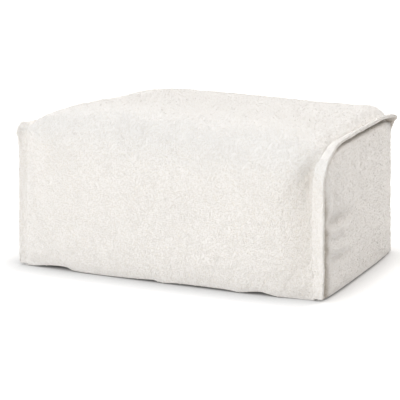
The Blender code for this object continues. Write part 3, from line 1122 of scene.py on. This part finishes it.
    def soften(self, mesh: bpy.types.Mesh) -> None:
        """Adds the puckers round the panel, the filling's unevenness, the cloth's clumps, and the painted
        shade beside the seam and in the creases.
        """
        points = read_points(mesh)
        normals = read_normals(mesh)
        outside = np.abs(points[:, 0]) > self.form.half_width + self.form.gap + self.rim * 0.9
        along, distance = self.seam.nearest(points[:, 1:])
        depth = np.maximum(distance - self.form.flange_thickness, 0)
        move = self.puckers.at(along, depth, seed=2.9)
        away = 1 - np.exp(-depth / self.swell_start)
        move += self.swell * uneven(points, self.swell_width, seed=5.9) * away
        move += self.clump * uneven(points, self.clump_width, seed=1.7)
        move *= freed(points, self.free_over) * outside
        write_points(mesh, off_floor(points + normals * move[:, None]))
        # Painted shade in the fold inside the flange and in the creases
        upright = self.beside_upright(points[:, 2])
        begin = self.mixed(self.painted_shade_start, upright)
        reach = self.mixed(self.painted_shade_reach, upright)
        share = along / self.seam.lengths[-1]
        ahead = np.clip((self.ear[0] + self.ear[1] - share) / self.ear[1], 0, 1)
        painted_seam_shade = ahead * np.exp(-((np.maximum(depth - begin, 0) / reach) ** 2))
        face = Face.RIGHT if self.end is End.RIGHT else Face.LEFT
        creases = np.maximum(crease_depth(face, points[:, 1], points[:, 2]), 0) / self.crease_full
        write_painted_shade(mesh, painted_seam_shade + self.painted_crease_shade * creases)


@dataclass
class SeamFlange:
    """The seam allowance of the block's cloth and the panel's, standing out round one end panel.

    clumps are the height and the width of the cloth's swellings. shade and ear_shade are painted
    shade on the flange's inner face, all along it and more about the ear, as far as shade_end along
    the seam.
    """

    form: PoufForm
    end: End
    seam: Seam
    wave: float = 0.0012
    wave_width: float = 0.030
    flare_wave: float = 5.0
    flare_width: float = 0.051
    bend_share: float = 0.3
    clumps: tuple[tuple[float, float], ...] = ((0.0007, 0.011), (0.0004, 0.005))
    edge_fade: float = 0.008
    free_over: float = 0.01
    shade: float = 0.22
    ear_shade: float = 0.45
    ear: tuple[float, float] = (0.70, 0.035)
    shade_end: float = 0.75
    # Share of the reach, and depth under the outer face in thicknesses: two folded lips, with the
    # groove between them at the tip. The outer one runs in over the block's cloth without a step
    profile: tuple[tuple[float, float], ...] = (
        (0.00, 1.00), (0.18, 1.02), (0.40, 1.06), (0.62, 1.14), (0.82, 1.14),
        (0.94, 1.00), (0.985, 0.80), (0.96, 0.62), (0.92, 0.51), (0.965, 0.40),
        (1.00, 0.20), (0.985, -0.06), (0.91, -0.25), (0.78, -0.31), (0.62, -0.25),
        (0.42, -0.18), (0.22, -0.21), (0.02, -0.26), (-0.20, -0.27), (-0.42, -0.22),
        (-0.55, 0.02), (-0.30, 0.34),
    )

    def build(self) -> bpy.types.Object:
        """Builds the flange.

        Returns:
            The finished piece, not yet dressed.
        """
        rows = list(zip(*FLANGE_STANDS[self.end]))
        shares = self.seam.lengths / self.seam.lengths[-1]
        reach = read_curve(rows[0], rows[1], shares)
        flare = read_curve(rows[0], rows[2], shares)
        along = np.column_stack([self.seam.lengths, np.zeros((len(shares), 2))])
        reach = reach + self.wave * uneven(along, self.wave_width, seed=4.3 + self.end.value)
        flare = flare + self.flare_wave * uneven(along, self.flare_width, seed=9.1 + self.end.value)
        share, inset = (np.array(column) for column in zip(*self.profile))
        rings = []
        for (y, z), (ny, nz), far, lean in zip(self.seam.points, self.seam.normals, reach, np.radians(flare)):
            turn = lean * np.clip(share / self.bend_share, 0, 1)
            thick = self.form.flange_thickness * inset
            out = far * share * np.sin(turn) - thick * np.cos(turn)
            away = far * share * np.cos(turn) + thick * np.sin(turn)
            x = self.end.value * (self.form.half_width + self.form.gap + away)
            rings.append(np.column_stack([x, y + ny * out, z + nz * out]))
        piece = swept(f"flange_{self.end.name.lower()}_cloth", self.form, rings)
        refine(piece)
        self.soften(piece.data)
        return piece

    def soften(self, mesh: bpy.types.Mesh) -> None:
        """Adds the cloth's clumps along the free edge, and the painted shade down the inner face."""
        points = read_points(mesh)
        normals = read_normals(mesh)
        edge = np.clip((np.abs(points[:, 0]) - self.form.half_width) / self.edge_fade, 0, 1)
        (coarse, coarse_width), (fine, fine_width) = self.clumps
        move = coarse * uneven(points, coarse_width, seed=6.1) + fine * uneven(points, fine_width, seed=2.2)
        move *= edge * freed(points, self.free_over)
        write_points(mesh, off_floor(points + normals * move[:, None]))
        # Painted shade on the flange's inner face, darkest about the ear
        along, _ = self.seam.nearest(points[:, 1:])
        share = along / self.seam.lengths[-1]
        index = np.searchsorted(self.seam.lengths, along).clip(0, len(self.seam.normals) - 1)
        inner = np.clip(-(normals[:, 1:] * self.seam.normals[index]).sum(axis=1) * 1.5, 0, 1)
        at_ear = np.exp(-(((share - self.ear[0]) / self.ear[1]) ** 2))
        write_painted_shade(mesh, inner * (self.shade + self.ear_shade * at_ear) * (share < self.shade_end))


@dataclass
class BasePanel:
    """The plain-woven base, a rounded rectangle with its edge turned under, stretched flat."""

    form: PoufForm
    corner: float = 0.030
    corner_steps: int = 12
    hem_width: float = 0.014
    hem_step: float = 0.002
    hem_rise: float = 0.0006
    edge: tuple[tuple[float, float], ...] = ((0.0006, 0.0001), (0.002, 0.0))

    def sides(self) -> tuple[float, float]:
        """Returns the half sizes of the panel along the width and the depth."""
        half_x = self.form.half_width - self.form.base_inset - 2 * self.form.recess_step
        half_y = self.form.half_depth - self.form.base_inset - self.form.recess_step
        return half_x, half_y

    def outline(self, inset: float) -> np.ndarray:
        """Returns the (x, y) points of the panel's outline, moved in by inset metres."""
        half_x, half_y = self.sides()
        radius = self.corner - inset
        points = []
        for quarter, (sx, sy) in enumerate(((1, 1), (-1, 1), (-1, -1), (1, -1))):
            for i in range(self.corner_steps + 1):
                angle = math.radians(90 * quarter + 90 * i / self.corner_steps)
                x = sx * (half_x - self.corner) + radius * math.cos(angle)
                y = sy * (half_y - self.corner) + radius * math.sin(angle)
                points.append((x, y))
        return np.array(points)

    def build(self) -> bpy.types.Object:
        """Builds the base panel.

        Returns:
            The finished piece, not yet dressed.
        """
        thick = self.form.base_thickness
        far = self.hem_width + self.hem_step
        levels = ((far, thick), (0.0, thick), (0.0, thick * 0.5), *self.edge, (self.hem_width, 0.0))
        rings = []
        for inset, z in (*levels, (far, self.hem_rise)):
            outline = self.outline(inset)
            rings.append(np.column_stack([outline, np.full(len(outline), z)]))
        return swept("base_panel_cloth", self.form, rings)


class GeometryTool(Nodes):
    """A Geometry Nodes tree that takes a geometry and some named numbers and gives one geometry."""

    def __init__(self, name: str, takes: str, gives: str, values: dict[str, float]) -> None:
        """Starts the tree.

        Args:
            name: The tree's name.
            takes: Name of the geometry that goes in.
            gives: Name of the geometry that comes out.
            values: The numbers that go in, by name.
        """
        super().__init__(bpy.data.node_groups.new(name, "GeometryNodeTree"))
        self.values = values
        sockets = self.tree.interface
        sockets.new_socket(takes, in_out="INPUT", socket_type="NodeSocketGeometry")
        for label, value in values.items():
            kind = "NodeSocketInt" if isinstance(value, int) else "NodeSocketFloat"
            sockets.new_socket(label, in_out="INPUT", socket_type=kind)
        sockets.new_socket(gives, in_out="OUTPUT", socket_type="NodeSocketGeometry")
        self.given = self.add("NodeGroupInput").outputs

    def tube(self, path: Socket, sides: int, radius: Socket, capped: bool) -> Socket:
        """Adds a round strand along a path.

        Args:
            path: The path.
            sides: Number of the strand's sides.
            radius: Its radius in metres.
            capped: Whether its ends are closed.

        Returns:
            The socket of its mesh.
        """
        inputs = {"Resolution": sides, "Radius": radius}
        strand = self.out("GeometryNodeCurvePrimitiveCircle", inputs, mode="RADIUS")
        inputs = {"Curve": path, "Profile Curve": strand, "Fill Caps": capped}
        return self.out("GeometryNodeCurveToMesh", inputs)

    def lay(self, inputs: dict, finish: bpy.types.Material) -> None:
        """Gives out instances on points as smooth mesh.

        Args:
            inputs: The points, the instance, and how each is turned and sized.
            finish: The material that they get.
        """
        laid = self.out("GeometryNodeInstanceOnPoints", inputs)
        real = self.out("GeometryNodeRealizeInstances", {0: laid})
        smooth = self.out("GeometryNodeSetShadeSmooth", {"Geometry": real})
        dressed = self.out("GeometryNodeSetMaterial", {"Geometry": smooth, "Material": finish})
        self.add("NodeGroupOutput", {0: dressed})

    def run(self, name: str, mesh: bpy.types.Mesh) -> bpy.types.Object:
        """Runs the tree on a mesh.

        Args:
            name: The new piece's name.
            mesh: What goes in.

        Returns:
            The piece as one plain mesh, clear of the floor.
        """
        piece = bpy.data.objects.new(name, mesh)
        bpy.context.scene.collection.objects.link(piece)
        modifier = piece.modifiers.new(self.tree.name, "NODES")
        modifier.node_group = self.tree
        for socket in self.tree.interface.items_tree:
            if socket.name in self.values:
                modifier[socket.identifier] = self.values[socket.name]
        made_plain(piece)
        write_points(piece.data, off_floor(read_points(piece.data)))
        return piece


@dataclass(frozen=True)
class LoopPile:
    """The curled yarn that stands up all over the looped cloth, laid by Geometry Nodes.

    Each loop is a short open curl of few faces. curls gives the sweep in radians and the size of
    each of the two shapes that are mixed, tilt is how far a loop leans in radians, and smallest and
    largest are its scales. There is no pile below bare_height, in metres, or on faces that look
    further down than bare_slope.
    """

    finish: bpy.types.Material
    spacing: float = 0.0066
    densest: float = 40000.0
    loop_radius: float = 0.0022
    yarn_radius: float = 0.00095
    rise: float = 0.0009
    seed: int = 7
    size_seed: int = 11
    shape_seed: int = 23
    curls: tuple[tuple[float, float], ...] = ((5.2, 1.0), (3.5, 1.25))
    tilt: float = 0.35
    smallest: tuple[float, float, float] = (0.75, 0.7, 0.7)
    largest: tuple[float, float, float] = (1.3, 1.25, 1.2)
    bare_height: float = 0.004
    bare_slope: float = -0.6

    def tool(self) -> GeometryTool:
        """Builds the tree that covers a mesh with loops.

        Returns:
            The tree, with its sizes as named inputs.
        """
        values = {"Spacing": self.spacing, "Loop radius": self.loop_radius, "Yarn radius": self.yarn_radius}
        tool = GeometryTool("looped_pile", "Cloth", "Pile", values | {"Rise": self.rise, "Seed": self.seed})
        given = tool.given
        inputs = {"Mesh": given["Cloth"], "Distance Min": given["Spacing"], "Density Max": self.densest}
        inputs["Seed"] = given["Seed"]
        spread = tool.add("GeometryNodeDistributePointsOnFaces", inputs, distribute_method="POISSON")
        both = tool.add("GeometryNodeJoinGeometry")
        for sweep, size in self.curls:
            tool.feed(both, {0: self.curl(tool, sweep, size)})
        random, vector = "FunctionNodeRandomValue", {"data_type": "FLOAT_VECTOR"}
        leans = {0: (-self.tilt, -self.tilt, 0.0), 1: (self.tilt, self.tilt, 2 * math.pi)}
        lean = tool.out(random, leans | {"Seed": given["Seed"]}, **vector)
        turned = tool.out("FunctionNodeEulerToRotation", {0: lean})
        inputs = {0: spread.outputs["Rotation"], 1: turned}
        facing = tool.out("FunctionNodeRotateRotation", inputs, rotation_space="LOCAL")
        size = tool.out(random, {0: self.smallest, 1: self.largest, "Seed": self.size_seed}, **vector)
        which = tool.out(random, {4: 0, 5: 1, "Seed": self.shape_seed}, output=2, data_type="INT")
        laid = {"Points": spread.outputs["Points"], "Instance": both.outputs[0], "Rotation": facing}
        laid |= {"Pick Instance": True, "Instance Index": which, "Scale": size}
        tool.lay(laid, self.finish)
        return tool

    @staticmethod
    def curl(tool: GeometryTool, sweep: float, size: float) -> Socket:
        """Adds one curl of yarn, an arc that rises out of the cloth and dips back into it.

        Args:
            tool: The tree it goes in.
            sweep: How far round it goes, in radians.
            size: Its size against the loop radius.

        Returns:
            The socket that gives it as one instance.
        """
        given = tool.given
        radius = tool.math("MULTIPLY", given["Loop radius"], size)
        inputs = {"Resolution": 6, "Radius": radius, "Sweep Angle": sweep}
        arc = tool.out("GeometryNodeCurveArc", inputs, mode="RADIUS")
        along = tool.out("GeometryNodeSplineParameter", output="Factor")
        hump = tool.math("SINE", tool.math("MULTIPLY", along, math.pi))
        sunk = tool.math("SUBTRACT", tool.math("MULTIPLY", hump, given["Rise"]), given["Yarn radius"])
        offset = tool.out("ShaderNodeCombineXYZ", {"Z": sunk})
        bent = tool.out("GeometryNodeSetPosition", {"Geometry": arc, "Offset": offset})
        tube = tool.tube(bent, 3, given["Yarn radius"], False)
        return tool.out("GeometryNodeGeometryToInstance", {0: tube})

    def cover(
        self,
        name: str,
        tool: GeometryTool,
        cloths: Sequence[bpy.types.Object],
        wanted: Callable[[np.ndarray], np.ndarray],
    ) -> bpy.types.Object:
        """Lays loops over part of the cloth.

        Args:
            name: The new piece's name.
            tool: The tree from tool().
            cloths: The cloth pieces that they stand on.
            wanted: Says from the faces' normals which faces get loops.

        Returns:
            The loops as one plain mesh.
        """
        work = bmesh.new()
        for cloth in cloths:
            work.from_mesh(cloth.data)
        heights = np.array([face.calc_center_median().z for face in work.faces])
        normals = np.array([face.normal for face in work.faces])
        kept = wanted(normals) & (heights > self.bare_height) & (normals[:, 2] > self.bare_slope)
        unwanted = [face for face, stays in zip(work.faces[:], kept) if not stays]
        bmesh.ops.delete(work, geom=unwanted, context="FACES")
        mesh = bpy.data.meshes.new(name)
        work.to_mesh(mesh)
        work.free()
        return tool.run(name, mesh)


@dataclass(frozen=True)
class SeamStitches:
    """The row of stitches that holds a flange up, sunk in the crease at its root.

    Sizes are in metres. handle and bow shape one stitch, in shares of its length.
    """

    finish: bpy.types.Material
    pitch: float = 0.0048
    thread_radius: float = 0.00045
    length: float = 0.0034
    handle: float = 0.4
    bow: float = 0.12

    def tool(self) -> GeometryTool:
        """Builds the tree that sews a row of stitches along a line.

        Returns:
            The tree, with its sizes as named inputs.
        """
        values = {"Pitch": self.pitch, "Thread radius": self.thread_radius, "Length": self.length}
        tool = GeometryTool("seam_stitches", "Line", "Stitches", values)
        given = tool.given
        path = tool.out("GeometryNodeMeshToCurve", {0: given["Line"]})
        inputs = {"Curve": path, "Length": given["Pitch"]}
        spaced = tool.out("GeometryNodeResampleCurve", inputs, mode="LENGTH")
        tangent = tool.out("GeometryNodeInputTangent")
        facing = tool.out("FunctionNodeAlignRotationToVector", {"Vector": tangent}, axis="X")
        inputs = {"Resolution": 5, "Start": (-0.5, 0, -self.bow), "End": (0.5, 0, -self.bow)}
        inputs |= {"Start Handle": (-self.handle, 0, self.bow), "End Handle": (self.handle, 0, self.bow)}
        bar = tool.out("GeometryNodeCurvePrimitiveBezierSegment", inputs)
        scale = tool.out("ShaderNodeCombineXYZ", {axis: given["Length"] for axis in "XYZ"})
        long = tool.out("GeometryNodeTransform", {"Geometry": bar, "Scale": scale})
        tube = tool.tube(long, 5, given["Thread radius"], True)
        tool.lay({"Points": spaced, "Instance": tube, "Rotation": facing}, self.finish)
        return tool

    @staticmethod
    def sew(name: str, tool: GeometryTool, line: np.ndarray) -> bpy.types.Object:
        """Sews one row of stitches.

        Args:
            name: The new piece's name.
            tool: The tree from tool().
            line: (x, y, z) points of the row.

        Returns:
            The stitches as one plain mesh.
        """
        mesh = bpy.data.meshes.new(name)
        mesh.from_pydata([tuple(point) for point in line], [(i, i + 1) for i in range(len(line) - 1)], [])
        return tool.run(name, mesh)


class Lamp(NamedTuple):
    """A soft lamp far off: its strength, direction from the front and size in degrees, and colour."""

    name: str
    strength: float
    azimuth: float
    elevation: float
    softness: float
    colour_hex: str


@dataclass(frozen=True)
class Studio:
    """The pale floor, the soft light and the camera. None of it is part of the pouf.

    azimuth and elevation are in degrees, aim and distance in metres, and sky is the room's strength.
    """

    lens_mm: float = 117.0
    azimuth: float = 25.084
    elevation: float = 11.650
    distance: float = 3.6477
    aim: tuple[float, float, float] = (-0.03145, 0.0, 0.16305)
    sensor_mm: float = 36.0
    floor_half: float = 40.0
    sky: float = 0.12
    lamps: tuple[Lamp, ...] = (
        Lamp("soft_key", 1.66, -23.0, 29.0, 42.0, "FFFFFF"),
        Lamp("back_right", 1.85, 160.0, 40.0, 26.0, "FFF4E8"),
        Lamp("soft_overhead", 1.93, 0.0, 90.0, 80.0, "F3F9FF"),
    )

    def set_up(self) -> None:
        """Makes the floor, the light and the camera."""
        self.lay_floor()
        self.light()
        self.place_camera()

    def lay_floor(self) -> None:
        """Lays the floor under the pouf."""
        h = self.floor_half
        mesh = bpy.data.meshes.new("studio_floor")
        mesh.from_pydata([(-h, -h, 0), (h, -h, 0), (h, h, 0), (-h, h, 0)], [], [(0, 1, 2, 3)])
        mesh.materials.append(StudioFloor().make())
        floor = bpy.data.objects.new("studio_floor", mesh)
        bpy.context.scene.collection.objects.link(floor)

    @staticmethod
    def direction(azimuth: float, elevation: float) -> Vector:
        """Returns the unit direction from the pouf to a place, by angles from the front in degrees."""
        a, e = math.radians(azimuth), math.radians(elevation)
        return Vector((math.sin(a) * math.cos(e), -math.cos(a) * math.cos(e), math.sin(e)))

    def light(self) -> None:
        """Adds the large soft lamps and the even light of the room."""
        for name, strength, azimuth, elevation, softness, colour_hex in self.lamps:
            lamp = bpy.data.lights.new(name, "SUN")
            lamp.energy = strength
            lamp.color = linear(colour_hex)[:3]
            lamp.angle = math.radians(softness)
            placed = bpy.data.objects.new(name, lamp)
            placed.rotation_euler = self.direction(azimuth, elevation).to_track_quat("Z", "Y").to_euler()
            bpy.context.scene.collection.objects.link(placed)
        world = bpy.data.worlds.new("white_room")
        world.use_nodes = True
        background = world.node_tree.nodes["Background"]
        background.inputs["Color"].default_value = (1.0, 1.0, 1.0, 1.0)
        background.inputs["Strength"].default_value = self.sky
        bpy.context.scene.world = world

    def place_camera(self) -> None:
        """Adds the camera at the photograph's angle."""
        back = self.direction(self.azimuth, self.elevation)
        right = Vector((0, 0, 1)).cross(back).normalized()
        up = back.cross(right)
        lens = bpy.data.cameras.new("camera")
        lens.lens = self.lens_mm
        lens.sensor_width = self.sensor_mm
        camera = bpy.data.objects.new("camera", lens)
        camera.rotation_euler = Matrix((right, up, back)).transposed().to_euler()
        camera.location = Vector(self.aim) + back * self.distance
        bpy.context.scene.collection.objects.link(camera)
        bpy.context.scene.camera = camera
        bpy.context.scene.view_settings.view_transform = "Standard"


def dress(piece: bpy.types.Object, finish: bpy.types.Material, node: str | None = None) -> None:
    """Gives a piece its finish and its place in the frame.

    Args:
        piece: The finished piece.
        finish: Its material.
        node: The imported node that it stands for, if any.
    """
    piece.data.materials.clear()
    piece.data.materials.append(finish)
    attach(piece, "root")
    if node:
        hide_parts(node)
    LOG.info("%s: %d points, %d faces", piece.name, len(piece.data.vertices), len(piece.data.polygons))


def main() -> None:
    """Builds the pouf, piece by piece, in the studio."""
    logging.basicConfig(level=logging.INFO, format="%(name)s %(message)s")
    Studio().set_up()
    form = PoufForm()
    seams = {end: Seam(form, end, SEAM_FOOT) for end in End}
    cloth = LoopedCloth().make()
    yarn = CurledYarn().make()

    block = FilledBlock(form, seams).build()
    dress(block, cloth, "filled_block")

    cloths = {}
    stitches = SeamStitches(yarn)
    needle = stitches.tool()
    for end in End:
        side = end.name.lower()
        seam = seams[end]
        panel = EndPanel(form, end, seam).build()
        dress(panel, cloth, f"end_panel_{side}")
        flange = SeamFlange(form, end, Seam(form, end, FLANGE_FOOT)).build()
        dress(flange, cloth, f"flange_{side}")
        cloths[end] = (panel, flange)
        line = seam.points + seam.normals * STITCH_LIFT
        x = np.full((len(line), 1), end.value * (form.half_width + form.gap + STITCH_OUT))
        row = stitches.sew(f"seam_stitches_{side}", needle, form.settled(np.column_stack([x, line])))
        dress(row, yarn)

    base_panel = BasePanel(form)
    base = base_panel.build()
    dress(base, BaseWeave().make(), "base_panel")

    pile = LoopPile(yarn)
    tufter = pile.tool()
    slope, facing_in = 0.5, 0.6
    regions = {
        "pile_front": ([block], lambda to: (to[:, 1] < -slope) & (to[:, 2] <= slope)),
        "pile_top": ([block], lambda to: to[:, 2] > slope),
        "pile_back": ([block], lambda to: (to[:, 1] > slope) & (to[:, 2] <= slope)),
        "pile_left": (cloths[End.LEFT], lambda to: to[:, 0] < facing_in),
        "pile_right": (cloths[End.RIGHT], lambda to: to[:, 0] > -facing_in),
    }
    for name, (on, wanted) in regions.items():
        dress(pile.cover(name, tufter, on, wanted), yarn)


if __name__ == "__main__":
    main()
